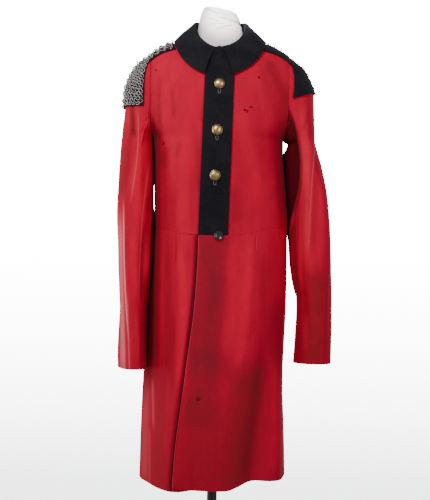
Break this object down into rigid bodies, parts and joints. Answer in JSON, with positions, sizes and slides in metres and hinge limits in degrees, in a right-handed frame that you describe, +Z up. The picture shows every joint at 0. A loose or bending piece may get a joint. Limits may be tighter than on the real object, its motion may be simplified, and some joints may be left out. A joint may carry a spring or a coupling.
{
  "type": "kurta-style long coat on a limbless dress form",
  "caption": "Long wrap-front coat with a wide collar, button band, shoulder patches and ring mail, on a limbless dress form with a round base.",
  "frame": {"origin": "centre of the stand's round base, at its underside", "axes": "+Z up along the pole, -Y towards the coat's front, +X towards the wearer's left"},
  "size_m": [0.4698, 0.3382, 1.4864],
  "materials": {
    "red_cloth": "heavy matte cloth with faint dark stains and a pinkish nap",
    "black_cloth": "matte black felted cloth",
    "steel_rings": "dull steel ring mail",
    "brass": "worn polished brass",
    "black_button": "glossy black",
    "form_cover": "off-white cloth cover",
    "stand_paint": "dark painted metal"
  },
  "bodies": {
    "root": {"right_front_bodice": "red_cloth", "left_front_bodice": "red_cloth", "back_bodice": "red_cloth", "right_front_skirt": "red_cloth", "left_front_skirt": "red_cloth", "back_skirt": "red_cloth", "right_upper_sleeve": "red_cloth", "right_under_sleeve": "red_cloth", "left_upper_sleeve": "red_cloth", "left_under_sleeve": "red_cloth", "front_band": "black_cloth", "collar_stand": "black_cloth", "collar_fall": "black_cloth", "right_shoulder_patch": "black_cloth", "left_shoulder_patch": "black_cloth", "right_shoulder_mail": "steel_rings", "left_shoulder_mail": "steel_rings", "brass_button_1": "brass", "brass_button_2": "brass", "brass_button_3": "brass", "black_button": "black_button", "form_torso": "form_cover", "form_neck": "form_cover", "stand_pole": "stand_paint", "stand_base": "stand_paint"}
  },
  "joints": []
}
